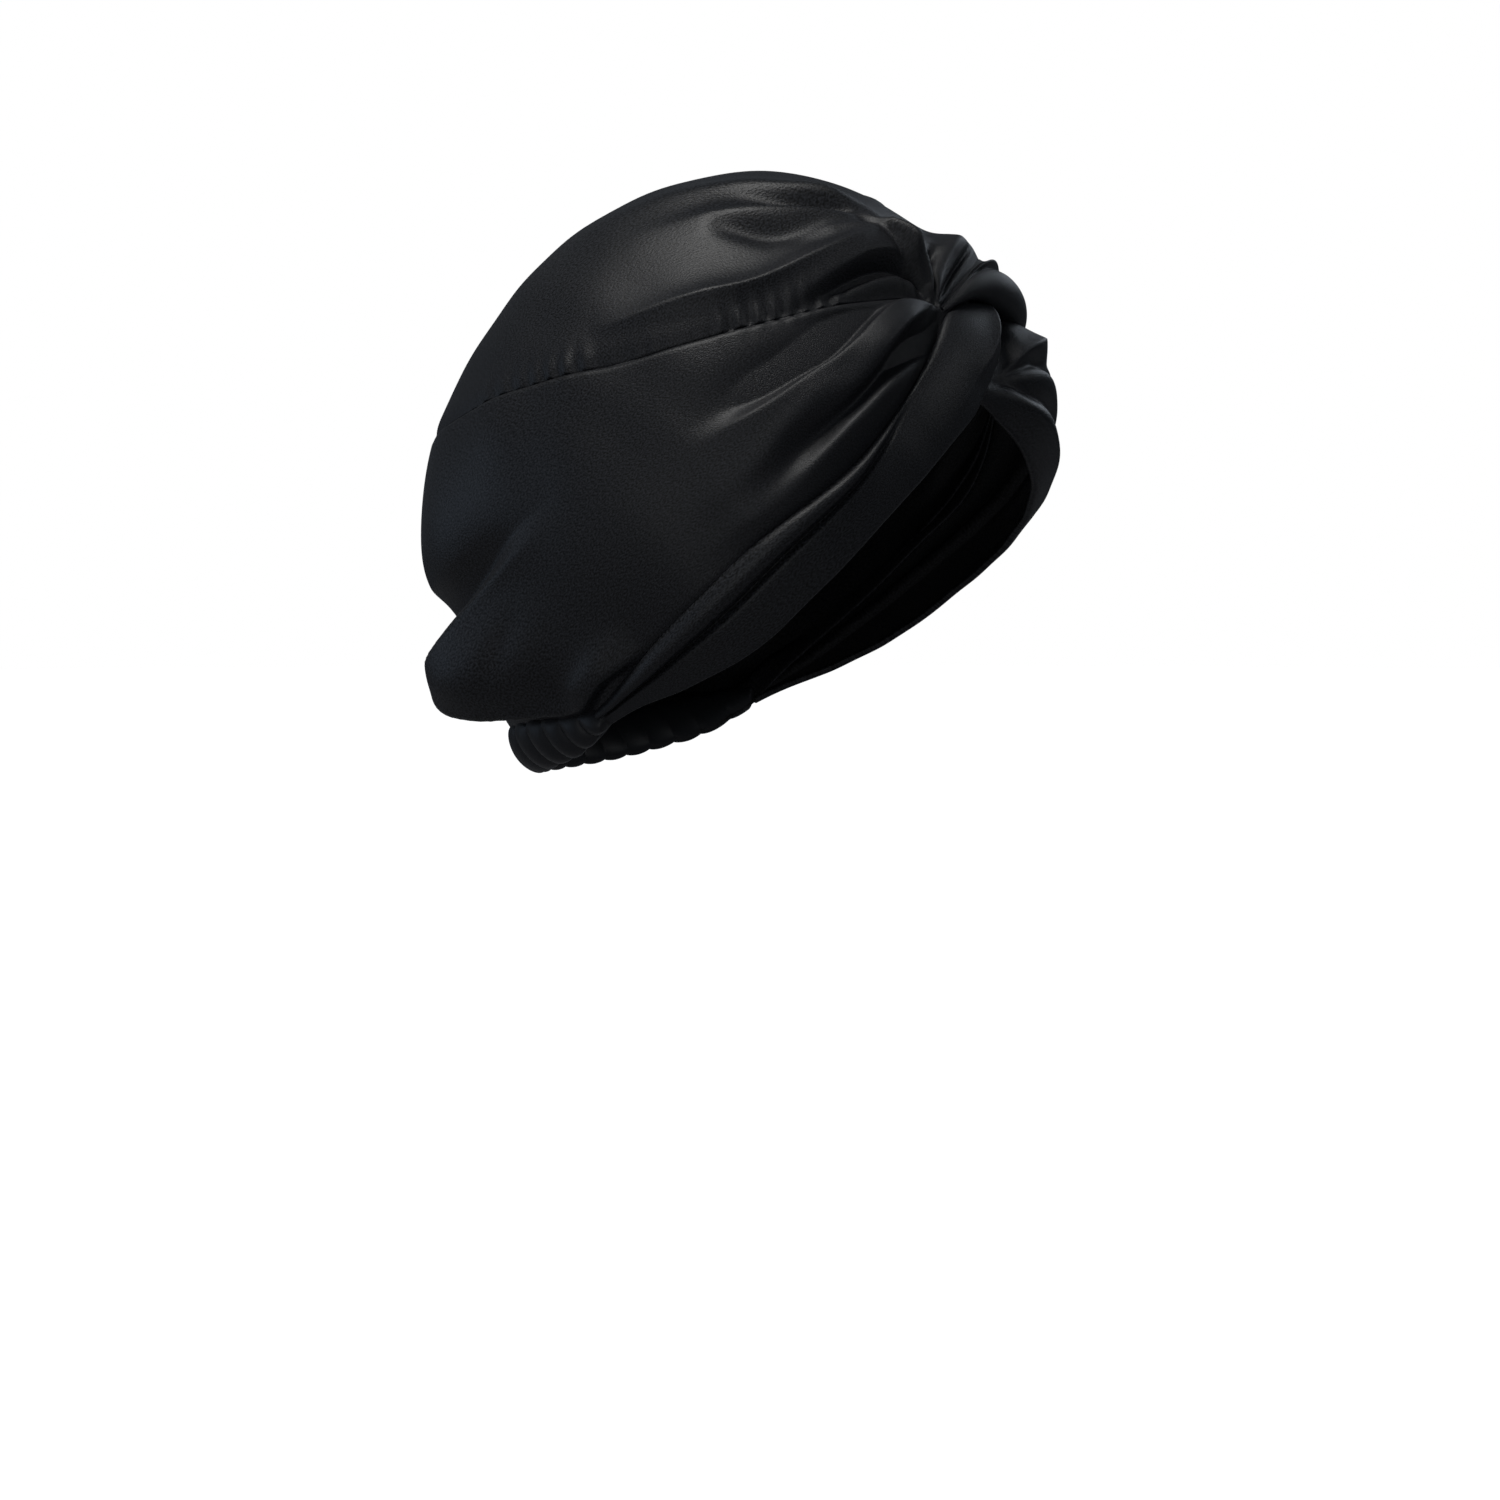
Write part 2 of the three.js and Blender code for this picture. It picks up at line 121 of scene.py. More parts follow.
# Folds: how sharp the crest is, how far it leans to the right hand, and a run of points with azimuth,
# elevation, rise, reach to the left of the run and reach to the right. Seen from outside, a run that
# goes back along the right side has its right hand upwards.
CROWN_FOLDS = {
    "strip step": (2.0, 0.0, [
        (20.7, 40, 0.8, 0.8, 2), (22.4, 43.2, 2.2, 0.8, 3.5), (24, 46.4, 3.0, 0.8, 5),
        (25.4, 50, 3.4, 0.8, 6), (28.8, 54.6, 2.2, 0.9, 7), (33, 60, 0.9, 1.6, 8),
        (37.3, 65.3, 0.3, 2.4, 8), (46, 70.5, 0, 3, 8),
    ]),
    "strip ridge": (1.4, 0.0, [
        (20.5, 40, 0.6, 2, 3), (20, 44, 2.0, 3, 5), (21.5, 48, 3.2, 4, 8), (23.4, 51.5, 3.8, 4.5, 10),
        (24.5, 55, 3.2, 5, 12), (25.5, 58.5, 2.5, 6, 13), (28, 63, 1.7, 7, 14), (34, 68, 0.8, 8, 15),
        (46, 73, 0, 8, 15),
    ]),
    "slit": (2.0, 0.0, [
        (21.5, 38.8, -0.6, 0.7, 0.7), (20, 42, -2.2, 0.8, 0.8), (17.4, 46.2, -3.2, 1.0, 1.0),
        (13, 49.2, -3.4, 1.3, 1.3), (8, 51.4, 0, 2, 2),
    ]),
    "strip shadow": (2.0, 0.0, [
        (22.4, 41.5, -0.8, 1.2, 1.2), (24.4, 44.4, -2.0, 1.6, 1.2), (26.2, 47, -2.6, 1.8, 1.2),
        (27.6, 50, -2.6, 2, 1.2), (31, 54.6, -1.5, 2.4, 1.4), (35.4, 60, -0.5, 3, 2), (40, 65, 0, 3, 2),
    ]),
    "fan slit": (2.0, 0.0, [
        (19.6, 40.2, -0.5, 0.7, 0.7), (15, 42.6, -1.6, 0.8, 0.8), (8, 45.6, -2.2, 0.9, 0.9),
        (0, 47.9, -1.8, 1.0, 1.0), (-8, 49.3, 0, 1.2, 1.2),
    ]),
    "fan crest": (1.6, 0.0, [
        (20, 40.5, 0.5, 1.6, 1.6), (16, 44.2, 1.6, 2.2, 2.2), (9, 48, 2.2, 3, 2.6), (0, 50.5, 2.2, 4, 3),
        (-10, 52, 0, 5, 4),
    ]),
    "top ridge": (1.6, 0.0, [
        (27, 53, 0.2, 3, 4), (30, 57, 1.0, 3.6, 5), (34, 61, 2.2, 4.4, 6), (42, 66, 3.2, 5, 8),
        (59, 69.5, 2.8, 6, 9), (79, 71, 2.6, 7, 10), (99, 69, 2.4, 8, 10), (116, 66, 1.9, 9, 10),
        (131, 61, 1.2, 10, 10), (146, 53, 0, 10, 10),
    ]),
    "top valley": (2.0, 0.0, [
        (24.5, 52, -0.4, 2.6, 2.6), (27, 55.6, -1.0, 3, 2.8), (33, 60, -2.0, 3.4, 3),
        (44, 63.2, -2.4, 3.4, 2.8), (60, 66, -1.7, 4, 3), (78, 68, -0.9, 5, 3), (95, 66, 0, 6, 4),
    ]),
    "second ridge": (1.6, 0.0, [
        (28, 55, 0.8, 4, 2.6), (32, 58.2, 1.8, 4, 2.6), (47, 61, 2.4, 5, 3), (61, 62, 2.3, 6, 3.4),
        (77, 62.2, 2.0, 7, 4), (91, 61, 1.5, 8, 5), (103, 59, 0.8, 8, 6), (118, 55, 0, 8, 7),
    ]),
    "dent": (2.0, 0.0, [
        (88, 60, 0, 4, 4), (80, 59, -1.3, 4, 4), (69, 57.2, -1.8, 4.5, 4), (57, 56, -1.0, 4, 4),
        (46, 56, 0, 4, 4),
    ]),
    "faint ridge": (1.6, 0.0, [
        (24, 50, 1.6, 3, 2.4), (27, 53, 2.2, 3.6, 2.6), (32, 55, 2.2, 4, 3), (43, 56.4, 1.5, 4, 3),
        (57, 55.2, 0.8, 4, 3), (66, 54, 0, 4, 3),
    ]),
    "long ridge": (1.2, 0.0, [
        (30, 54, 0.3, 2.4, 4), (40, 53, 1.4, 2.8, 4.6), (52, 50, 2.6, 3.2, 5), (64, 46.2, 3.2, 3.4, 5.6),
        (74, 43.5, 3.1, 3.4, 6), (85, 41.6, 2.7, 3.4, 6), (95, 39.6, 2.0, 3.6, 7), (105, 37.2, 1.0, 4, 8),
        (114, 35, 0, 5, 9),
    ]),
    "front tube": (2.4, -2.2, [
        (23.5, 43, 1.0, 2.0, 4), (25, 47, 4.0, 2.6, 5.5), (30, 49.8, 6.0, 2.8, 6.5),
        (39, 50, 6.6, 3.2, 7.5), (48, 47.6, 5.6, 3.4, 8), (55, 44.8, 3.6, 3.6, 8), (62, 41.6, 1.4, 4, 7),
        (70, 38.6, 0, 4, 6),
    ]),
    "deep crease": (2.0, 0.0, [
        (22.5, 41.5, -1.0, 1.8, 1.8), (23.5, 44.6, -2.6, 2.2, 2), (27, 47, -3.4, 2.4, 2.2),
        (34, 47.4, -3.4, 2.6, 2.2), (43, 45.6, -3.0, 2.8, 2.4), (52, 42.8, -2.2, 3, 2.6),
        (60, 40.4, -1.0, 3, 3), (68, 37.8, 0, 4, 4),
    ]),
    "seam puff": (2.0, 0.0, [
        (24.5, 41.8, 0.4, 2.6, 1.8), (27, 43, 1.6, 3, 2), (32, 44.6, 2.6, 3.4, 2.2),
        (40, 44.2, 2.4, 3.4, 2.2), (49, 42.4, 1.8, 3.4, 2.4), (56, 40.8, 1.0, 3.4, 3),
        (64, 38.6, 0, 3.4, 3),
    ]),
    "back valley": (1.2, 0.0, [
        (114, 2, 0, 4, 8), (124, -5, -1.4, 3, 10), (134, -12, -4.0, 2.4, 11), (144, -18.5, -8.0, 2.2, 11),
        (154, -22.4, -11, 2.2, 11), (166, -23.4, -9.0, 2.8, 11), (180, -23, -4.0, 6, 10),
    ]),
    "slouch sag": (2.0, 0.0, [
        (128, -2, 0, 5, 14), (141, -9, 1.2, 5, 14), (154, -13.6, 2.4, 5, 14), (166, -15, 2.6, 5, 14),
        (179.5, -15, 2.0, 5, 14),
    ]),
}
LEFT_FOLDS = (
    "top ridge", "top valley", "second ridge", "dent", "long ridge", "front tube", "deep crease",
    "seam puff", "back valley", "slouch sag",
)
FOLD_STEPS = 60
FOLD_DEPTH = 1.5
FIXED_FOLDS = (
    "strip step", "strip ridge", "slit", "fan crest", "front tube", "deep crease", "seam puff",
    "back valley", "hem rim", "pouch edge", "strip shadow", "fan slit", "slouch sag", "hem groove",
)
LEFT_FOLDS_FROM, LEFT_FOLDS_FADE = 24.0, 20.0


def fold_shape(crest, lean, points, d):
    """Lift of one fold over many directions, and how far its crest is pushed to one side."""
    run = np.array(points, float)
    count = np.arange(len(run))
    dense = np.linspace(0, len(run) - 1, FOLD_STEPS)
    line = through(count, *direction(run[:, 0], run[:, 1]).T)(dense)
    line /= np.linalg.norm(line, axis=1, keepdims=True)
    rise, left, right = through(count, run[:, 2], run[:, 3], run[:, 4])(dense).T
    ahead = np.gradient(line, axis=0)
    step = np.linalg.norm(ahead, axis=1)
    ahead /= step[:, None]
    aside = np.cross(ahead, line)
    near = np.argmax(d @ line.T, axis=1)
    gap = d - line[near]
    along = np.einsum("ij,ij->i", gap, ahead[near])
    across = np.einsum("ij,ij->i", gap, aside[near]) * ARC_RADIUS
    at = near + along / step[near]
    beyond = np.maximum(np.maximum(-at, at - (FOLD_STEPS - 1)), 0) * step[near] * ARC_RADIUS
    knots = np.arange(FOLD_STEPS)
    reach = np.where(across > 0, np.interp(at, knots, right), np.interp(at, knots, left))
    ends = np.exp(-((beyond / reach) ** 2))
    shape = np.exp(-(np.abs(across / reach) ** crest)) * ends
    lift = np.interp(at, knots, rise)
    push = lean * lift / np.abs(rise).max() * np.exp(-((across / reach) ** 2)) * ends
    return lift * shape, aside[near] * push[:, None]


def all_folds(folds, d, mirrored=()):
    mirror = np.array([-1.0, 1.0, 1.0])
    lift, shift = np.zeros(len(d)), np.zeros(d.shape)
    fade = smooth((-angles_of(d)[0] - LEFT_FOLDS_FROM) / LEFT_FOLDS_FADE)
    for name, (crest, lean, points) in folds.items():
        depth = 1 if name in FIXED_FOLDS else FOLD_DEPTH
        rise, push = fold_shape(crest, lean, points, d)
        lift, shift = lift + rise * depth, shift + push
        if name in mirrored:
            rise, push = fold_shape(crest, lean, points, d * mirror)
            lift, shift = lift + rise * depth * fade, shift + push * mirror * fade[:, None]
    return lift, shift


RIGHT_SEAM = through(
    (6, 14, 18, 21, 24, 30, 41, 54, 70, 100, 130, 155, 172, 180),
    (40.0, 39.6, 39.4, 39.8, 40.8, 41.4, 41.2, 40, 37, 29.8, 22.3, 13.6, 9, 9),
)
LEFT_SEAM = through(
    (-22, -15, -10, -5, 0, 5, 10, 16, 23, 30, 41, 70, 100, 130, 155, 172, 180),
    (38.0, 41.0, 42.8, 44.2, 45.3, 46.2, 46.8, 47, 45.8, 44.2, 42.3, 37, 29.8, 22.3, 13.6, 9, 9),
)
SEAMS_MEET_AZ = 20
SEAM_GAP = 0.25
SEAM_DIP = {"depth": 1.3, "above": 3.2, "below": 0.8, "crest": 1.4}
PUCKER = {
    "pitch": 6.6, "rise": 0.9, "above": 6.5, "below": 3.5, "share_below": 0.15, "slant": 0.22,
    "from_az": 21.0, "fade": 8.0, "seam_share": 0.86, "left_start": 31.0,
}
# Slow waves along the seam that vary the puckers: size, length and start of each
PUCKER_DRIFT = [(0.35, 17, 0), (0.2, 7.3, 1)]
PUCKER_STRENGTH = [(0.6, 13, 0.5), (0.3, 5.1, 0)]
MEAN_STRENGTH, LEAST_STRENGTH, MOST_STRENGTH = 0.5, 0.08, 1.1


def seam_elevation(az):
    return np.where(az > SEAMS_MEET_AZ, RIGHT_SEAM(az)[..., 0], LEFT_SEAM(-az)[..., 0])


def waves(s, rows):
    return sum(size * np.sin(s / length + start) for size, length, start in rows)


def pucker_lift(az, from_seam):
    s = np.abs(az) * MM_PER_DEGREE * PUCKER["seam_share"] + np.where(az > 0, 0, PUCKER["left_start"])
    phase = s / PUCKER["pitch"] + waves(s, PUCKER_DRIFT)
    strength = np.clip(MEAN_STRENGTH + waves(s, PUCKER_STRENGTH), LEAST_STRENGTH, MOST_STRENGTH)
    strength = strength * smooth((np.abs(az) - PUCKER["from_az"]) / PUCKER["fade"])
    above = np.exp(-((from_seam / PUCKER["above"]) ** 2))
    below = PUCKER["share_below"] * np.exp(-((from_seam / PUCKER["below"]) ** 2))
    reach = np.where(from_seam > 0, above, below)
    wave = np.cos(2 * np.pi * phase - PUCKER["slant"] * from_seam)
    return PUCKER["rise"] * strength * reach * wave


# Slack: height of each swell, and the two waves that cross in it, with lengths along x, y and z and a start
LEVEL = np.inf
SLACK = [
    (0.40, (9.1, 15.3, LEVEL), 1.3, (LEVEL, -19.0, 11.7), 0.0),
    (0.25, (LEVEL, 6.3, -8.9), 0.4, (7.7, LEVEL, 13.1), 2.0),
    (0.35, (21.0, LEVEL, 21.0), 0.8, (LEVEL, 17.0, LEVEL), 0.5),
]


def slack(d):
    """The soft unevenness of cloth that is not drawn tight."""
    at, total = d * ARC_RADIUS, 0
    for height, first, first_start, second, second_start in SLACK:
        one = np.sin(np.sum(at / np.array(first), -1) + first_start)
        total = total + height * one * np.sin(np.sum(at / np.array(second), -1) + second_start)
    return total


def shell_lift(d):
    """Lift of the crown and side panels, with the folds that run over both."""
    az, el = angles_of(d)
    from_seam = (el - seam_elevation(az)) * MM_PER_DEGREE
    reach = np.where(from_seam > 0, SEAM_DIP["above"], SEAM_DIP["below"])
    dip = SEAM_DIP["depth"] * np.exp(-np.abs(from_seam / reach) ** SEAM_DIP["crest"])
    rise, shift = all_folds(CROWN_FOLDS, d, LEFT_FOLDS)
    lift = EASE + bulge_lift(az, el) + rise + slack(d)
    return np.maximum(LEAST_LIFT, lift - dip + pucker_lift(az, from_seam)), shift


# Satin: threads to the metre along, across and through the cloth, their slant and how far they stand
# out, then patches to the metre where the gloss varies, and how dark and light the threads are
FLOATS, FLOAT_SLANT, FLOAT_HEIGHT, FLOAT_DETAIL = (1700, 2500, 1700), 0.5, 0.00013, 1.5
GLOSS_PATCHES, GLOSS_DETAIL, GLOSS_SPREAD = 38.0, 3.0, 0.04
THREAD_SHADES = [(0.36, 0.05), (0.64, 1.95)]
GLOSS_LEVEL, GLOSS_STRETCH = 0.25, 0.3


def satin(name, colour, roughness):
    """Woven satin: fine slanted floats in the bump, a little unevenness in shade and gloss."""
    finish = bpy.data.materials.new(name)
    finish.use_nodes = True
    nodes, links = finish.node_tree.nodes, finish.node_tree.links
    shader = nodes["Principled BSDF"]
    shader.inputs["Specular IOR Level"].default_value = GLOSS_LEVEL
    shader.inputs["Anisotropic"].default_value = GLOSS_STRETCH
    where = nodes.new("ShaderNodeTexCoord")
    floats = nodes.new("ShaderNodeMapping")
    floats.inputs["Rotation"].default_value = (0, 0, FLOAT_SLANT)
    floats.inputs["Scale"].default_value = FLOATS
    links.new(where.outputs["UV"], floats.inputs["Vector"])
    weave = nodes.new("ShaderNodeTexNoise")
    weave.inputs["Scale"].default_value = 1.0
    weave.inputs["Detail"].default_value = FLOAT_DETAIL
    links.new(floats.outputs["Vector"], weave.inputs["Vector"])
    bump = nodes.new("ShaderNodeBump")
    bump.inputs["Strength"].default_value = 1.0
    bump.inputs["Distance"].default_value = FLOAT_HEIGHT
    links.new(weave.outputs["Fac"], bump.inputs["Height"])
    links.new(bump.outputs["Normal"], shader.inputs["Normal"])
    patches = nodes.new("ShaderNodeTexNoise")
    patches.inputs["Scale"].default_value = GLOSS_PATCHES
    patches.inputs["Detail"].default_value = GLOSS_DETAIL
    links.new(where.outputs["Object"], patches.inputs["Vector"])
    gloss = nodes.new("ShaderNodeMapRange")
    gloss.inputs["To Min"].default_value = roughness - GLOSS_SPREAD
    gloss.inputs["To Max"].default_value = roughness + GLOSS_SPREAD
    links.new(patches.outputs["Fac"], gloss.inputs["Value"])
    links.new(gloss.outputs["Result"], shader.inputs["Roughness"])
    shade = nodes.new("ShaderNodeValToRGB")
    for stop, (position, level) in zip(shade.color_ramp.elements, THREAD_SHADES):
        stop.position = position
        stop.color = (*[level * c for c in colour], 1)
    links.new(weave.outputs["Fac"], shade.inputs["Fac"])
    links.new(shade.outputs["Color"], shader.inputs["Base Color"])
    return finish


satin_face = satin("black_satin_face", (0.0112, 0.0118, 0.0138), 0.44)
satin_back = satin("black_satin_back", (0.0085, 0.0085, 0.0092), 0.65)
LEAST_FACING = 0.25
SETTLED_ROWS = 2
RIM_BULGE = 0.4


def inward(rows, cols, by):
    """For each point of a sheet, the nearest one at least so many rows in from every edge."""
    most = np.array([rows - 1 - by, cols - 1 - by])[:, None, None]
    return tuple(np.clip(np.indices((rows, cols)), by, most))


def cloth_piece(name, face, thickness, outward=False):
    """A closed sheet: the face, its back one thickness inside it, and rounded rims between them."""
    rows, cols = face.shape[:2]
    normal = np.cross(np.gradient(face, axis=0), np.gradient(face, axis=1))
    normal /= np.maximum(np.linalg.norm(normal, axis=2, keepdims=True), 1e-9)
    normal = normal[inward(rows, cols, SETTLED_ROWS)]
    centre = np.array([0, 0, -SEAT_HEIGHT])
    flip = np.sum(normal * (face - centre)) < 0
    if flip:
        normal = -normal
    if outward:
        radial = (face - centre) / np.linalg.norm(face - centre, axis=2, keepdims=True)
        normal = np.where(np.sum(normal * radial, 2, keepdims=True) < LEAST_FACING, radial, normal)
    back = face - normal * thickness
    index = np.arange(rows * cols).reshape(rows, cols)
    edge = np.concatenate([index[0, :-1], index[:-1, -1], index[-1, :0:-1], index[:0:-1, 0]])
    out = face - face[inward(rows, cols, 1)]
    out /= np.maximum(np.linalg.norm(out, axis=2, keepdims=True), 1e-9)
    flat_face, flat_back = face.reshape(-1, 3), back.reshape(-1, 3)
    rim = (flat_face[edge] + flat_back[edge]) / 2 + out.reshape(-1, 3)[edge] * thickness * RIM_BULGE
    points = np.concatenate([flat_face, flat_back, rim]) * MM
    quads = np.stack([index[:-1, :-1], index[1:, :-1], index[1:, 1:], index[:-1, 1:]], -1).reshape(-1, 4)
    next_edge = np.roll(edge, -1)
    half = rows * cols
    ring = 2 * half + np.arange(len(edge))
    next_ring = np.roll(ring, -1)
    face_rim = np.stack([edge, next_edge, next_ring, ring], -1)
    back_rim = np.stack([ring, next_ring, next_edge + half, edge + half], -1)
    faces = np.concatenate([quads, quads[:, ::-1] + half, face_rim, back_rim])
    if flip:
        faces = faces[:, ::-1]
    mesh = bpy.data.meshes.new(name)
    mesh.from_pydata(points.tolist(), [], faces.tolist())
    lengths = [np.linalg.norm(np.diff(face, axis=k), axis=2).sum(k).mean() * MM for k in (0, 1)]
    v, u = np.meshgrid(np.linspace(0, lengths[0], rows), np.linspace(0, lengths[1], cols), indexing="ij")
    spread = np.stack([u.ravel(), v.ravel()], -1)
    spread = np.concatenate([spread, spread, spread[edge]])
    loops = np.empty(len(mesh.loops), int)
    mesh.loops.foreach_get("vertex_index", loops)
    mesh.uv_layers.new(name="weave").data.foreach_set("uv", spread[loops].ravel())
    kinds = np.zeros(len(faces), int)
    kinds[len(quads) : 2 * len(quads)] = 1
    mesh.polygons.foreach_set("material_index", kinds)
    mesh.polygons.foreach_set("use_smooth", np.ones(len(faces), bool))
    mesh.materials.append(satin_face)
    mesh.materials.append(satin_back)
    mesh.update()
    piece = bpy.data.objects.new(name, mesh)
    bpy.context.scene.collection.objects.link(piece)
    return piece


CROWN_COLUMNS, CROWN_ROWS = 200, 190
CROWN_FRONT_AZ, CROWN_BACK_AZ = (21.0, 16.0), 172.0
CROWN_CROWDING = 1.25
CROWN_FRONT_FADE = 14.0
crown_back = np.linspace(0, 1, CROWN_COLUMNS) ** CROWN_CROWDING
right_az, left_az = [front + (CROWN_BACK_AZ - front) * crown_back for front in CROWN_FRONT_AZ]
crown_right = direction(right_az, RIGHT_SEAM(right_az)[:, 0] + SEAM_GAP / MM_PER_DEGREE)
crown_left = direction(-left_az, LEFT_SEAM(left_az)[:, 0] + SEAM_GAP / MM_PER_DEGREE)
crown_span = np.arccos(np.clip(np.sum(crown_right * crown_left, 1), -1, 1))
crown_share = np.linspace(0, 1, CROWN_ROWS)[:, None]
crown_way = (
    crown_right * np.sin((1 - crown_share) * crown_span)[..., None]
    + crown_left * np.sin(crown_share * crown_span)[..., None]
) / np.sin(crown_span)[:, None]
front_az = CROWN_FRONT_AZ[0] - sum(CROWN_FRONT_AZ) * crown_share[:, 0]
front_line = direction(front_az, LEFT_SEAM(-front_az)[:, 0] + SEAM_GAP / MM_PER_DEGREE)
front_share = np.exp(-((np.arange(CROWN_COLUMNS) / CROWN_FRONT_FADE) ** 2))[:, None]
crown_way = crown_way + (front_line - crown_way[:, 0])[:, None] * front_share
crown_way /= np.linalg.norm(crown_way, axis=2, keepdims=True)
crown_lift, crown_shift = shell_lift(crown_way.reshape(-1, 3))
crown_face = place(crown_way, crown_lift.reshape(crown_way.shape[:2])) + crown_shift.reshape(crown_way.shape)
crown = cloth_piece("crown_cloth", crown_face, CLOTH_THICKNESS, outward=True)
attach(crown, "root")
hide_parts("crown_top")

# Side panels: two pieces of the same satin, each from the twist round one side to the middle of the
# back. They are sewn to the crown above and to each other behind, tucked under the face bands in
# front and gathered at the nape. The left one ends in the soft roll that crosses over the twist.
SIDE_FOLDS = {
    "side ridge": (1.5, 1.0, [
        (22.5, 38.8, 0.6, 3, 2), (27, 39.4, 1.8, 5, 2), (35, 38.4, 3.0, 7, 1.8), (42, 35, 3.6, 8, 1.7),
        (47, 31.2, 3.8, 9, 1.7), (52, 27.6, 3.8, 9, 1.8), (57, 25, 3.4, 10, 2.0),
        (65, 20.4, 2.6, 10, 2.8), (73, 16, 1.6, 10, 4.0), (79, 13, 0.7, 11, 6), (86, 9, 0, 11, 9),
    ]),
    "upper hollow": (2.0, 0.0, [
        (32, 42, 0, 3, 3), (39.5, 40, -1.0, 4, 4), (46.5, 36.6, -2.2, 5, 6), (52, 33, -2.8, 5, 7),
        (57, 29.8, -2.8, 5, 8), (62, 27, -2.6, 5, 9), (69.5, 23, -2.0, 6, 10), (77.5, 19, -1.2, 7, 11),
        (88, 14, 0, 9, 12),
    ]),
    "pocket edge": (1.8, -2.0, [
        (26, 38, 0.5, 1.8, 3), (34, 35.2, 3.2, 2, 4), (39.5, 32, 3.8, 2.2, 5), (43, 29, 3.6, 2.6, 5),
        (47, 25, 3.0, 3.2, 5), (52, 21, 2.0, 4, 5), (57, 17, 1.0, 5, 6), (63, 12, 0, 6, 6),
    ]),
    "pocket": (2.0, 0.0, [
        (21.5, 36.4, -1.6, 2.4, 2.4), (26, 33, -3.6, 3.4, 3), (33, 30.6, -4.2, 4, 3.4),
        (39, 27.4, -3.4, 4, 3.6), (44, 24, -2.8, 4, 4), (49, 19.4, -2.8, 4, 4),
        (54, 15.4, -2.4, 4.4, 4.4), (59, 10.8, -1.9, 5, 5), (64, 5, -1.2, 5, 5), (71, -2, 0, 6, 6),
    ]),
    "low ridge": (1.7, 0.0, [
        (31, 29, 1.0, 3, 3), (36, 26.4, 2.6, 4, 3.6), (42, 22.4, 3.8, 5, 4.4), (49, 16.8, 4.0, 5.4, 5),
        (55, 11, 3.4, 6, 5.4), (61, 5.2, 2.7, 6.4, 6), (67, -0.3, 1.8, 7, 7), (74, -6, 0.8, 8, 8),
        (82, -12, 0, 8, 8),
    ]),
    "soft ridge": (2.0, 0.0, [
        (50, 24.4, 0, 4, 4), (57, 20.4, 1.0, 5, 4), (64, 14, 1.4, 5, 5), (70, 8, 1.2, 6, 6),
        (76, 3, 0.7, 7, 7), (86, -5, 0, 8, 8),
    ]),
    "hem rim": (1.5, 0.0, [
        (97, -30.6, 0.2, 2, 6), (103.7, -33.4, 2.6, 2, 7), (107.6, -35, 4.2, 2, 8),
        (111.5, -37.4, 4.6, 2, 8), (115, -39.6, 3.8, 2, 7), (119, -40.6, 2.4, 2, 4),
        (126, -40.2, 2.0, 1.6, 3), (133.5, -39, 2.0, 1.4, 3), (140, -37.4, 2.0, 1.4, 3),
        (148, -34.6, 2.0, 1.4, 3), (155.7, -31.8, 1.8, 1.4, 3), (166, -29.6, 1.4, 1.6, 3),
        (179, -29, 0.6, 2, 4),
    ]),
    "hem groove": (2.0, 0.0, [
        (122, -41.4, 0, 1.2, 1.2), (128, -41.2, -1.2, 1.2, 1.2), (133.5, -40.2, -2.0, 1.4, 1.4),
        (140, -38.6, -2.2, 1.5, 1.5), (148, -35.8, -2.2, 1.5, 1.5), (155.7, -33, -1.8, 1.5, 1.5),
        (166, -30.8, -1.2, 1.5, 1.5), (179, -30.2, 0, 1.5, 1.5),
    ]),
    "pouch edge": (1.1, 0.0, [
        (118, -5.6, 0, 6, 2), (127, -11.6, 1.4, 6, 1.6), (135, -17, 2.4, 6, 1.4), (143, -22, 2.8, 6, 1.4),
        (151, -25.4, 2.2, 6, 1.8), (162, -27, 0, 6, 3),
    ]),
    "pouch dimple": (2.0, 0.0, [
        (124, -20, 0, 5, 5), (129, -25, -0.7, 5, 4), (132, -29, -0.8, 5, 4), (136, -34, 0, 4, 4),
    ]),
    "pouch pleat": (1.8, 0.0, [
        (100, -27, 0, 4, 4), (107, -31, 0.5, 4, 4), (114, -35.5, 0.6, 4, 3), (121, -39, 0.3, 4, 3),
    ]),
}
SIDE_FOLD_FADE = 5.0
TUCK_LIFT, TUCK_REACH, TUCK_FADE = 2.6, 10.0, 8.0
HEM_GATHER = {"pitch": 11.0, "rise": 0.7, "reach": 10.0, "from_az": 112.0, "fade": 10.0, "hem_share": 0.75}
HEM_DRIFT = [(0.9, 13, 0)]
HEM_RIM = through(
    (96, 100, 103.7, 107.2, 111, 114.2, 118, 126, 133.5, 140, 148, 155.7, 166, 180),
    (-31, -32.4, -34, -35.4, -37.8, -40, -41.4, -41.4, -40.4, -39.0, -36.4, -33.6, -31.2, -30.6),
)
TURN_IN_FROM, TURN_IN_FADE = 97.0, 6.0
TURN_IN_REACH, TURN_IN_LIFT = 3.4, 4.0
RIGHT_HEM = through(
    (6, 14, 18, 21, 25, 40, 51, 67, 83, 100, 108, 180),
    (35.0, 34.6, 34.0, 33.0, 29.6, 14.2, 2.6, -10.2, -24.6, -37.6, -43.2, -43.2),
)
LEFT_HEM = through(
    (-180, -108, -100, -83, -67, -51, -41, -32, -22, -10, 0, 8, 20),
    (-43.2, -43.2, -37.6, -24.6, -10.2, 2.6, 14.4, 26.2, 33.0, 33.6, 33.6, 35.4, 37.0),
)
SIDE_ROWS = 106
ALLOWANCE, ALLOWANCE_ROWS, ALLOWANCE_DROP, ALLOWANCE_BEND = 3.0, 6, 1.7, 1.5
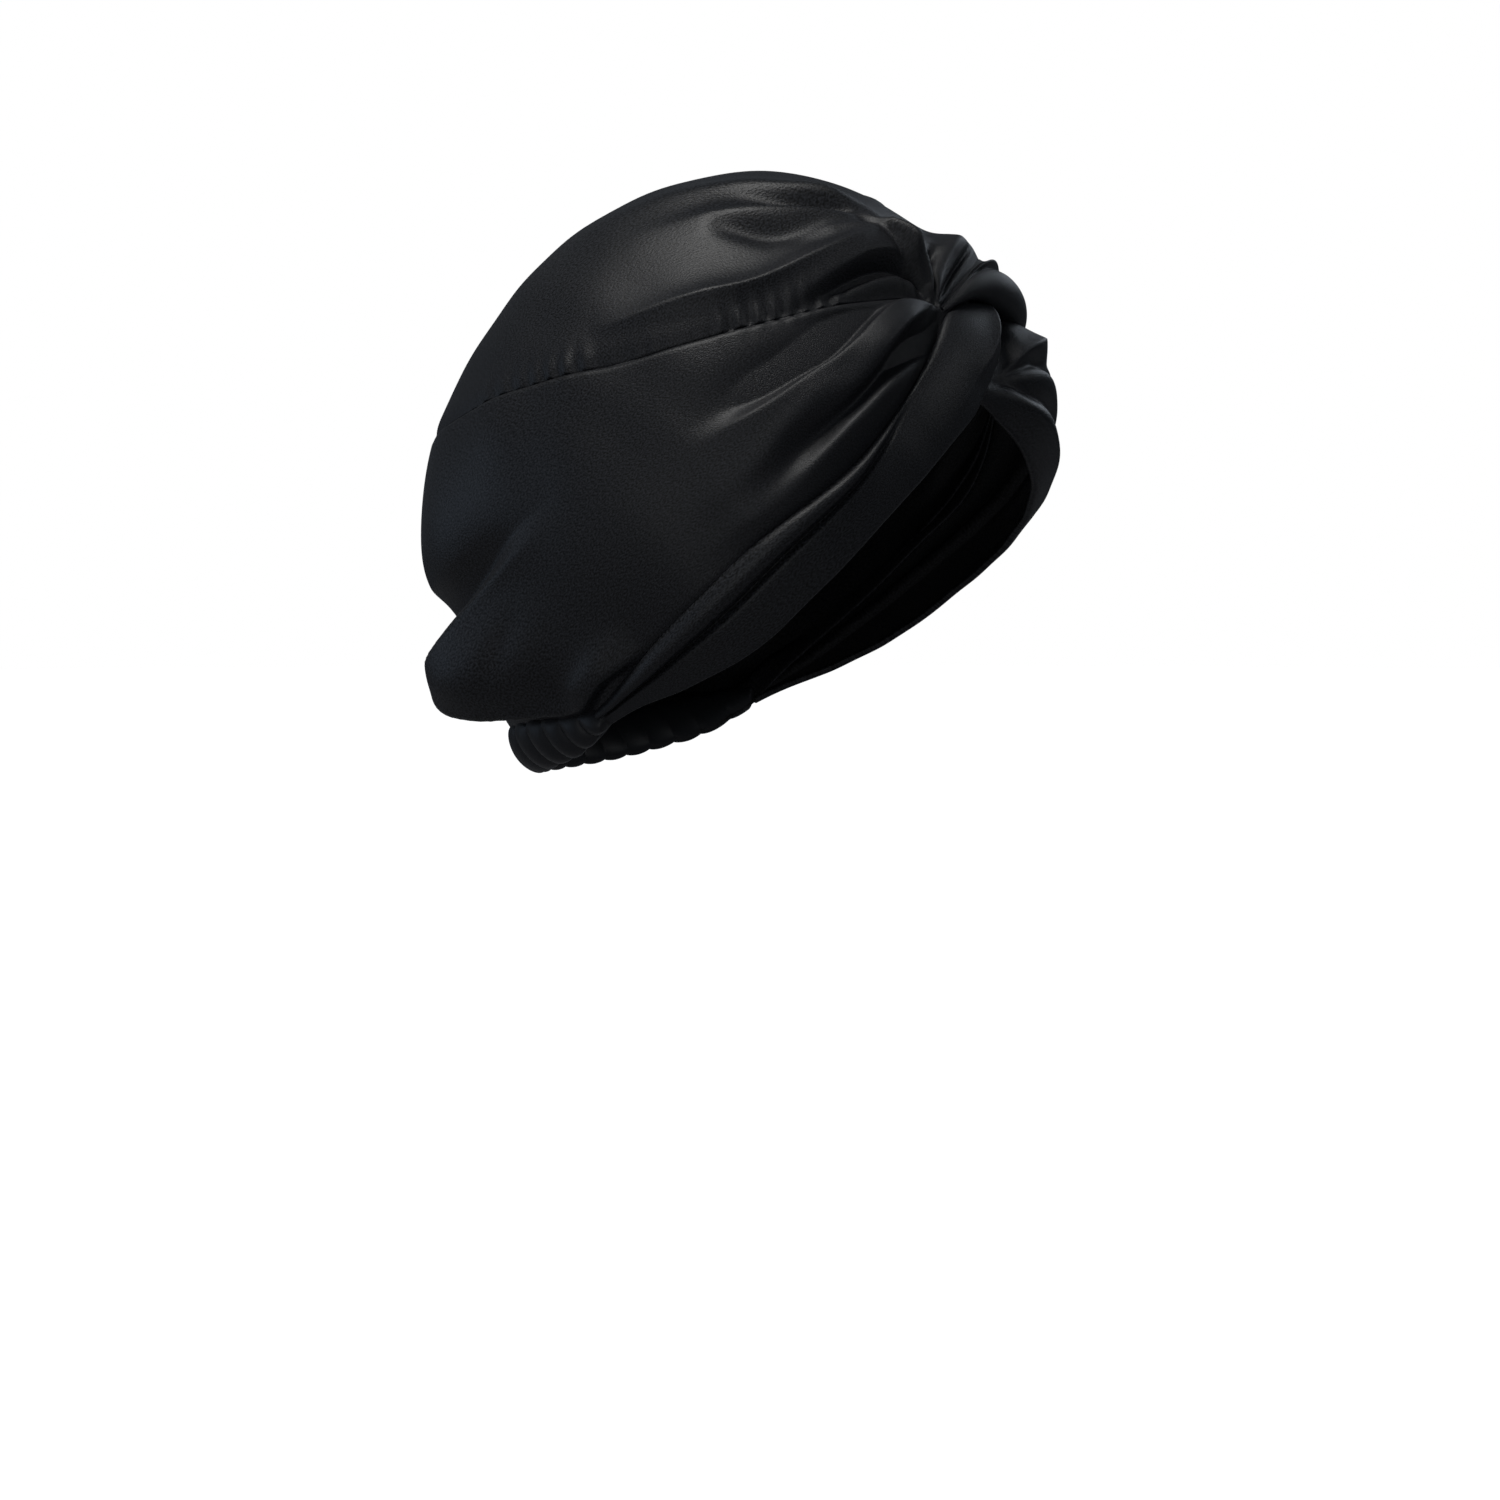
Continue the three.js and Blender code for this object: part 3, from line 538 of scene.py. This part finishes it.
# The roll of the left panel: azimuth, elevation and lift of its middle, and its radius
ROLL = [
    (-46, 27.0, 4.0, 5.0), (-30, 33.2, 7.5, 6.5), (-20, 36.0, 9.0, 7.0), (-12, 38.0, 9.8, 7.0),
    (-5, 39.6, 10.2, 6.4), (0, 40.4, 10.2, 5.6), (5, 40.8, 9.9, 4.2), (10, 40.4, 9.2, 2.9),
    (14, 39.6, 7.8, 1.9), (17, 38.8, 6.0, 1.2), (20, 38.0, 3.6, 0.6),
]
ROLL_FROM, ROLL_FULL = -46.0, -24.0
ROLL_TURNS = (25.0, 205.0)
ROLL_START = 0.34
NARROW_PLEAT = {"at": 0.17, "reach": 0.09, "rise": 3.2, "full_radius": 5}


def side_lift(d, az, above_hem, tuck_from, tuck_to):
    el = angles_of(d)[1]
    below_seam = (seam_elevation(az) - el) * MM_PER_DEGREE
    lift, shift = shell_lift(d)
    rise, push = all_folds(SIDE_FOLDS, d, tuple(SIDE_FOLDS))
    free = smooth(below_seam / SIDE_FOLD_FADE)
    lift, shift = lift + rise * free, shift + push * free[:, None]
    at_nape = smooth((np.abs(az) - HEM_GATHER["from_az"]) / HEM_GATHER["fade"])
    s = az * MM_PER_DEGREE * HEM_GATHER["hem_share"]
    wave = np.cos(2 * np.pi * s / HEM_GATHER["pitch"] + waves(s, HEM_DRIFT))
    lift += at_nape * HEM_GATHER["rise"] * wave * np.exp(-above_hem / HEM_GATHER["reach"])
    below_rim = (HEM_RIM(np.abs(az))[:, 0] - el) * MM_PER_DEGREE
    turned_in = smooth((np.abs(az) - TURN_IN_FROM) / TURN_IN_FADE) * smooth(below_rim / TURN_IN_REACH)
    lift += (TURN_IN_LIFT - lift) * turned_in
    tucked = smooth((az - tuck_from) / TUCK_FADE) * smooth((tuck_to - az) / TUCK_FADE)
    share = tucked * (1 - smooth(above_hem / TUCK_REACH))
    lift += (np.minimum(lift, TUCK_LIFT) - lift) * share
    return np.maximum(LEAST_LIFT, lift), shift * (1 - np.maximum(share, turned_in))[:, None]


def side_panel(name, az, hem, tuck_from, tuck_to, roll):
    v = np.linspace(0, 1, SIDE_ROWS)[:, None]
    allowance = ALLOWANCE * (np.arange(ALLOWANCE_ROWS, 0, -1) / ALLOWANCE_ROWS)[:, None]
    top = (seam_elevation(az) if roll else RIGHT_SEAM(az)[:, 0]) - SEAM_GAP / MM_PER_DEGREE
    low = hem(az)[:, 0]
    el = top + (low - top) * v
    az_grid = np.broadcast_to(az, el.shape)
    d = direction(az_grid, el).reshape(-1, 3)
    above_hem = ((el - low) * MM_PER_DEGREE).ravel()
    lift, shift = side_lift(d, az_grid.ravel(), above_hem, tuck_from, tuck_to)
    lift, shift = lift.reshape(el.shape), shift.reshape(*el.shape, 3)
    if roll:
        rows = np.array(ROLL)
        mid_el, mid_lift, radius = through(rows[:, 0], *rows[:, 1:].T)(az).T
        begin, end = ROLL_TURNS
        turn = np.radians(begin + (end - begin) * (v - ROLL_START) / (1 - ROLL_START))
        start = np.radians(begin)
        ring_el = mid_el + radius * np.cos(turn) / MM_PER_DEGREE
        ring_lift = mid_lift + radius * np.sin(turn)
        entry_el = mid_el + radius * np.cos(start) / MM_PER_DEGREE
        entry_lift = mid_lift + radius * np.sin(start)
        way = smooth(v / ROLL_START)
        lead_el = top + (entry_el - top) * v / ROLL_START
        pleat = NARROW_PLEAT["rise"] * np.exp(-(((v - NARROW_PLEAT["at"]) / NARROW_PLEAT["reach"]) ** 2))
        pleat_share = np.clip(radius / NARROW_PLEAT["full_radius"], 0, 1)
        lead_lift = lift[0] + (entry_lift - lift[0]) * way + pleat * pleat_share
        on_ring = v > ROLL_START
        roll_el = np.where(on_ring, ring_el, lead_el)
        roll_lift = np.where(on_ring, ring_lift, lead_lift)
        share = smooth((az - ROLL_FROM) / (ROLL_FULL - ROLL_FROM))
        el = el + (roll_el - el) * share
        lift = lift + (roll_lift - lift) * share
        shift = shift * (1 - share)[:, None]
    el = np.concatenate([el[:1] + allowance / MM_PER_DEGREE, el])
    sunk = lift[:1] - ALLOWANCE_DROP * smooth(allowance / ALLOWANCE_BEND)
    lift = np.concatenate([np.maximum(LEAST_LIFT, sunk), lift])
    shift = np.concatenate([np.repeat(shift[:1], ALLOWANCE_ROWS, axis=0), shift])
    az_grid = np.broadcast_to(az, el.shape)
    return cloth_piece(name, place(direction(az_grid, el), lift) + shift, CLOTH_THICKNESS)


RIGHT_SIDE_AZ = np.interp(np.linspace(0, 1, 230), (0, 0.48, 1), (9, 66, 179.85))
LEFT_SIDE_AZ = np.interp(np.linspace(0, 1, 400), (0, 0.3, 0.45, 1), (-179.85, -80, -46, 20))
right_side = side_panel("right_side_cloth", RIGHT_SIDE_AZ, RIGHT_HEM, -20, 110, False)
left_side = side_panel("left_side_cloth", LEFT_SIDE_AZ, LEFT_HEM, -110, -38, True)
for panel, node in ((right_side, "side_panel_right"), (left_side, "side_panel_left")):
    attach(panel, "root")
    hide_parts(node)

# Face bands: two strips of satin folded lengthwise, from the twist along the opening to the nape.
# The fold is the free rim; the raw edges are sewn in under the side panels.

# Rows run from the twist back: upper edge, lower edge (azimuth, elevation each), lift at the upper
# edge, middle and lower edge, place of the long crease from 0 to 1, height of the roll above the
# crease, depth of the crease, and drop of the turned-down facet along the lower edge
RIGHT_BAND = [
    (6, 41.0, -10, 39.0, 4.0, 6.0, 6.0, 0.04, 0, 0, 1.0),
    (14, 39.2, -4, 35.0, 4.8, 8.4, 8.4, 0.04, 0, 0, 2.6),
    (20, 36.6, 1, 29.8, 5.4, 9.2, 8.6, 0.04, 0, 0, 3.4),
    (26.5, 31, 9.5, 24, 5.6, 8.6, 6.8, 0.05, 0, 0, 2.4),
    (33, 24.6, 17.5, 17.6, 5.6, 7.0, 5.0, 0.06, 0.1, 0.2, 0.8),
    (39.5, 18, 26.5, 11, 5.2, 5.8, 4.0, 0.08, 0.4, 0.5, 0.2),
    (45.5, 11.6, 36, 2.4, 4.8, 5.0, 3.6, 0.16, 1.2, 1.2, 0),
    (53, 4.6, 43.5, -5.2, 4.6, 4.4, 3.4, 0.27, 2.2, 1.8, 0),
    (67.5, -6.4, 56.5, -19, 4.6, 4.0, 3.2, 0.35, 2.8, 2.2, 0),
    (83, -20.4, 70, -31, 4.8, 4.0, 3.2, 0.38, 3.0, 2.2, 0),
    (97, -32, 87, -38.8, 5.2, 4.4, 3.4, 0.40, 2.8, 2.0, 0),
    (107, -38.8, 101, -42.4, 5.6, 5.2, 4.0, 0.42, 2.0, 1.4, 0),
    (113.5, -42, 110, -45, 5.8, 5.6, 4.4, 0.42, 1.0, 0.8, 0),
]
LEFT_BAND = [
    (14, 29, 22, 22.0, 2.6, 2.8, 2.6, 0.5, 0, 0, 0),
    (0, 33, 12, 19.6, 3.0, 4.4, 2.8, 0.5, 0, 0, 0),
    (-9, 38, 7, 16.0, 3.4, 11.0, 3.2, 0.5, 0.4, 0.6, 0),
    (-19, 37, 0, 11.4, 5.0, 15.6, 4.0, 0.5, 1.0, 2.4, 0),
    (-30, 32.4, -9, 6.0, 5.4, 15.0, 4.8, 0.5, 1.6, 3.0, 0),
    (-41, 20, -21, -0.8, 5.2, 12.0, 5.2, 0.48, 2.0, 2.8, 0),
    (-53, 7.4, -36, -9.4, 5.2, 9.0, 5.2, 0.44, 2.4, 2.4, 0),
    (-67.5, -6.4, -54, -20.6, 5.0, 6.2, 4.4, 0.40, 2.8, 2.2, 0),
    (-83, -20.4, -70.5, -31.4, 4.8, 4.2, 3.6, 0.38, 3.0, 2.2, 0),
    (-97, -32, -87, -38.8, 5.2, 4.4, 3.4, 0.40, 2.8, 2.0, 0),
    (-107, -38.8, -101, -42.4, 5.6, 5.2, 4.0, 0.42, 2.0, 1.4, 0),
    (-113.5, -42, -110, -45, 5.8, 5.6, 4.4, 0.42, 1.0, 0.8, 0),
]
# The tongue of the right band has one sharp crease line and the left band four pleats: sharpness,
# reach, and points with row, place across the band and rise
RIGHT_PLEATS = [
    (1.2, 0.10, [
        (0.4, 0.56, 0), (1.2, 0.60, 1.6), (2.0, 0.64, 2.4), (2.8, 0.70, 1.8), (3.5, 0.76, 0),
    ]),
]
LEFT_PLEATS = [
    (1.3, 0.07, [
        (1.2, 0.56, 0), (1.8, 0.50, 1.6), (2.4, 0.42, 2.6), (3.0, 0.32, 2.2), (3.6, 0.24, 1.2),
        (4.4, 0.18, 0),
    ]),
    (1.6, 0.06, [
        (1.2, 0.64, 0), (1.8, 0.60, -2.0), (2.4, 0.54, -2.8), (3.0, 0.46, -2.4), (3.8, 0.38, -1.6),
        (6, 0.32, 0),
    ]),
    (1.6, 0.06, [
        (0.8, 0.70, 0), (1.6, 0.74, -1.6), (2.4, 0.75, -3.0), (3.2, 0.71, -3.4), (4.2, 0.67, -2.8),
        (6.5, 0.58, 0),
    ]),
    (1.6, 0.08, [
        (0.6, 0.84, 0.4), (1.6, 0.87, 1.4), (2.6, 0.87, 2.6), (3.6, 0.86, 3.0), (5.0, 0.84, 2.0),
        (7, 0.8, 0),
    ]),
]
BAND_COLUMNS, BAND_ROWS = 300, 80
BAND_THICKNESS = 2.0
BAND_CREASE_WIDTH = 0.05
BAND_ROLL_FULLNESS = 0.8
BAND_SLACK, BAND_SLACK_FINENESS = 0.5, 1.6
FACET_FROM = 0.68
RIM_ROUNDING, RIM_REACH = 1.4, 0.09
RIGHT_BAND_CUT, LEFT_BAND_CUT = (0.20, 0.032), (0.20, 0.045)


def face_band(name, rows, pleats):
    along = np.linspace(0, len(rows) - 1, BAND_COLUMNS)
    table = through(np.arange(len(rows)), *np.array(rows, float).T)(along)
    up_az, up_el, low_az, low_el, first, middle, last, crease_at, roll, crease, facet = table.T
    v = np.linspace(0, 1, BAND_ROWS)[:, None]
    d = direction(up_az + (low_az - up_az) * v, up_el + (low_el - up_el) * v)
    lift = first + (last - first) * v + (middle - (first + last) / 2) * 4 * v * (1 - v)
    lift = lift + roll * np.sin(np.pi * np.clip(v / crease_at, 0, 1)) ** BAND_ROLL_FULLNESS
    lift = lift - crease * np.exp(-(((v - crease_at) / BAND_CREASE_WIDTH) ** 2))
    lift = lift - facet * np.clip((v - FACET_FROM) / (1 - FACET_FROM), 0, 1)
    for crest, reach, points in pleats:
        at_row, at, rise = np.array(points, float).T
        middle_line, height = through(at_row, at, rise)(along).T
        height = np.where((along > at_row[0]) & (along < at_row[-1]), height, 0)
        lift = lift + height * np.exp(-(np.abs((v - middle_line) / reach) ** crest))
    rim = np.clip(np.minimum(v, 1 - v) / RIM_REACH, 0, 1)
    lift = lift - RIM_ROUNDING * (1 - np.sqrt(1 - (1 - rim) ** 2))
    lift = lift + BAND_SLACK * slack(d * BAND_SLACK_FINENESS)
    return cloth_piece(name, place(d, lift), BAND_THICKNESS)


right_band = face_band("right_band_cloth", RIGHT_BAND, RIGHT_PLEATS)
left_band = face_band("left_band_cloth", LEFT_BAND, LEFT_PLEATS)
for band, node, cut in (
    (right_band, "band_right", RIGHT_BAND_CUT), (left_band, "band_left", LEFT_BAND_CUT),
):
    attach(band, "root")
    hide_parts(node)

# Nape casing: a tube of satin round the back of the opening, gathered over a hidden elastic and sewn
# to the hems of the two side panels.
CASING = {"end_az": 110.5, "lift": 4.0, "half_thickness": 3.1, "closing_share": 0.012}
# Azimuth from the front, elevation of the middle and half height, alike on both sides
CASING_LINE = through(
    (110.5, 117, 125, 138, 180), (-43.4, -44.9, -46.2, -46.9, -47.0), (2.2, 4.4, 6.0, 7.0, 7.2),
)
GATHERS = {
    "count": 17, "depth": 2.6, "slant": -1.2, "drift": 0.3, "drift_rate": 9, "fullness": 0.6,
    "level": 0.55, "inner_share": 0.25, "rise": 0.9,
}
CASING_STATIONS, CASING_SIDES = 480, 40
u = np.linspace(0, 1, CASING_STATIONS)[:, None]
around = np.linspace(0, 2 * np.pi, CASING_SIDES, endpoint=False)
gather_phase = np.pi * (GATHERS["count"] * u + GATHERS["drift"] * np.sin(GATHERS["drift_rate"] * u))
gather_phase = gather_phase + GATHERS["slant"] * np.cos(np.pi * u) * np.sin(around)
puff = np.abs(np.sin(gather_phase)) ** GATHERS["fullness"] - GATHERS["level"]
closing = np.sqrt(smooth(np.minimum(u, 1 - u) / CASING["closing_share"]))
puff_depth = GATHERS["depth"] * puff * np.maximum(GATHERS["inner_share"], np.cos(around))
casing_round = (CASING["half_thickness"] + puff_depth) * closing
casing_az = CASING["end_az"] + 2 * (180 - CASING["end_az"]) * u
casing_mid, casing_half = CASING_LINE(180 - np.abs(casing_az - 180)).T[:, 0, :, None]
casing_high = (casing_half + GATHERS["rise"] * puff) * closing
casing_way = direction(
    np.broadcast_to(casing_az, casing_round.shape), casing_mid + casing_high * np.sin(around) / MM_PER_DEGREE
)
casing_points = place(casing_way, CASING["lift"] + casing_round * np.cos(around)) * MM
ring = np.arange(CASING_STATIONS * CASING_SIDES).reshape(CASING_STATIONS, CASING_SIDES)
turned = np.roll(ring, -1, axis=1)
casing_faces = np.stack([ring[:-1], ring[1:], turned[1:], turned[:-1]], -1).reshape(-1, 4).tolist()
casing_faces += [ring[0, ::-1].tolist(), ring[-1].tolist()]
casing_mesh = bpy.data.meshes.new("nape_casing_cloth")
casing_mesh.from_pydata(casing_points.reshape(-1, 3).tolist(), [], casing_faces)
casing_mesh.polygons.foreach_set("use_smooth", np.ones(len(casing_faces), bool))
casing_mesh.materials.append(satin_face)
casing_mesh.update()
casing = bpy.data.objects.new("nape_casing_cloth", casing_mesh)
bpy.context.scene.collection.objects.link(casing)
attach(casing, "root")
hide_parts("nape_casing")

# Studio: a pale floor and surround that light the cloth only faintly, and five soft round lights: a key
# high behind the right side, a broad fill level with it, and weaker ones in front, at the left and behind.
FLOOR_HEIGHT, FLOOR_RADIUS, FLOOR_SIDES = -0.375, 5.0, 64
FLOOR_COLOUR, FLOOR_ROUGHNESS = (0.86, 0.86, 0.86, 1), 0.9
FLOOR_GLOW, FLOOR_BOUNCE = 0.97, (0.25, 0.25, 0.26, 1)
SURROUND_COLOUR, WHITE = (0.78, 0.88, 1.0, 1), (1, 1, 1, 1)
SURROUND_SEEN, SURROUND_LIGHT = 1.0, 0.09


def seen_or_lighting(tree, seen, lighting, output):
    """One shader where the camera sees it straight, another for the light it gives."""
    which, ray = tree.nodes.new("ShaderNodeMixShader"), tree.nodes.new("ShaderNodeLightPath")
    tree.links.new(ray.outputs["Is Camera Ray"], which.inputs["Fac"])
    tree.links.new(lighting, which.inputs[1])
    tree.links.new(seen, which.inputs[2])
    tree.links.new(which.outputs["Shader"], tree.nodes[output].inputs["Surface"])


floor_mesh = bpy.data.meshes.new("floor")
floor_turn = np.linspace(0, 2 * np.pi, FLOOR_SIDES, endpoint=False)
floor_points = np.stack([np.cos(floor_turn), np.sin(floor_turn), np.zeros(FLOOR_SIDES)], -1) * FLOOR_RADIUS
floor_mesh.from_pydata((floor_points + [0, 0, FLOOR_HEIGHT]).tolist(), [], [list(range(FLOOR_SIDES))])
floor_finish = bpy.data.materials.new("pale_floor")
floor_finish.use_nodes = True
pale_floor = floor_finish.node_tree.nodes["Principled BSDF"]
pale_floor.inputs["Base Color"].default_value = FLOOR_COLOUR
pale_floor.inputs["Roughness"].default_value = FLOOR_ROUGHNESS
pale_floor.inputs["Emission Color"].default_value = WHITE
pale_floor.inputs["Emission Strength"].default_value = FLOOR_GLOW
dim_floor = floor_finish.node_tree.nodes.new("ShaderNodeBsdfDiffuse")
dim_floor.inputs["Color"].default_value = FLOOR_BOUNCE
seen_or_lighting(floor_finish.node_tree, pale_floor.outputs[0], dim_floor.outputs[0], "Material Output")
floor_mesh.materials.append(floor_finish)
floor = bpy.data.objects.new("floor", floor_mesh)
bpy.context.scene.collection.objects.link(floor)

world = bpy.data.worlds.new("pale_surround")
world.use_nodes = True
lit_surround = world.node_tree.nodes["Background"]
lit_surround.inputs["Color"].default_value = SURROUND_COLOUR
lit_surround.inputs["Strength"].default_value = SURROUND_LIGHT
seen_surround = world.node_tree.nodes.new("ShaderNodeBackground")
seen_surround.inputs["Color"].default_value = WHITE
seen_surround.inputs["Strength"].default_value = SURROUND_SEEN
seen_or_lighting(world.node_tree, seen_surround.outputs[0], lit_surround.outputs[0], "World Output")
bpy.context.scene.world = world
bpy.context.scene.view_settings.view_transform = "Standard"
HOLLOW_MIDDLE = Vector((0, 0, -SEAT_HEIGHT * MM))
# Name, azimuth, elevation, distance, width, watts, colour
LIGHTS = [
    ("key_light", 118, 65, 1.2, 0.5, 9.5, (1.0, 0.99, 0.97)),
    ("fill_light", 95, -2, 1.6, 1.2, 4.0, (0.96, 0.98, 1.0)),
    ("front_light", 0, 28, 1.5, 0.5, 1.8, (0.96, 0.98, 1.0)),
    ("edge_light", -70, 30, 1.4, 0.7, 2.6, (0.82, 0.90, 1.0)),
    ("back_light", 168, -5, 1.4, 1.1, 1.8, (0.62, 0.78, 1.0)),
]
for light_name, az, el, far, wide, watts, tint in LIGHTS:
    lamp = bpy.data.lights.new(light_name, "AREA")
    lamp.shape = "DISK"
    lamp.size = wide
    lamp.energy = watts
    lamp.color = tint
    light = bpy.data.objects.new(light_name, lamp)
    way = Vector(direction(az, el).tolist())
    light.location = HOLLOW_MIDDLE + way * far
    light.rotation_euler = way.to_track_quat("Z", "Y").to_euler()
    bpy.context.scene.collection.objects.link(light)

# The camera stands level with the middle of the hollow, towards the right side of the front
CAMERA_DISTANCE = 1.2
CAMERA_AZ = 70.0
FOCAL_PIXELS, FRAME_PIXELS = 3756.0, 1500.0
MIDDLE_PIXEL = (757.0, 500.0)
SENSOR = 36.0
camera_back = Vector(direction(CAMERA_AZ, 0).tolist())
pitch = np.arctan((FRAME_PIXELS / 2 - MIDDLE_PIXEL[1]) / FOCAL_PIXELS)
yaw = np.arctan((FRAME_PIXELS / 2 - MIDDLE_PIXEL[0]) / FOCAL_PIXELS)
level = -camera_back
side = level.cross(Vector((0, 0, 1)))
ahead = level * np.cos(pitch) - Vector((0, 0, 1)) * np.sin(pitch)
upward = side.cross(ahead)
ahead = ahead * np.cos(yaw) + side * np.sin(yaw)
side = ahead.cross(upward)
lens = bpy.data.cameras.new("photo_camera")
lens.sensor_width = SENSOR
lens.lens = SENSOR * FOCAL_PIXELS / FRAME_PIXELS
camera = bpy.data.objects.new("photo_camera", lens)
camera.matrix_world = Matrix.Translation(HOLLOW_MIDDLE + camera_back * CAMERA_DISTANCE) @ Matrix(
    (side, upward, -ahead)
).transposed().to_4x4()
bpy.context.scene.collection.objects.link(camera)
bpy.context.scene.camera = camera
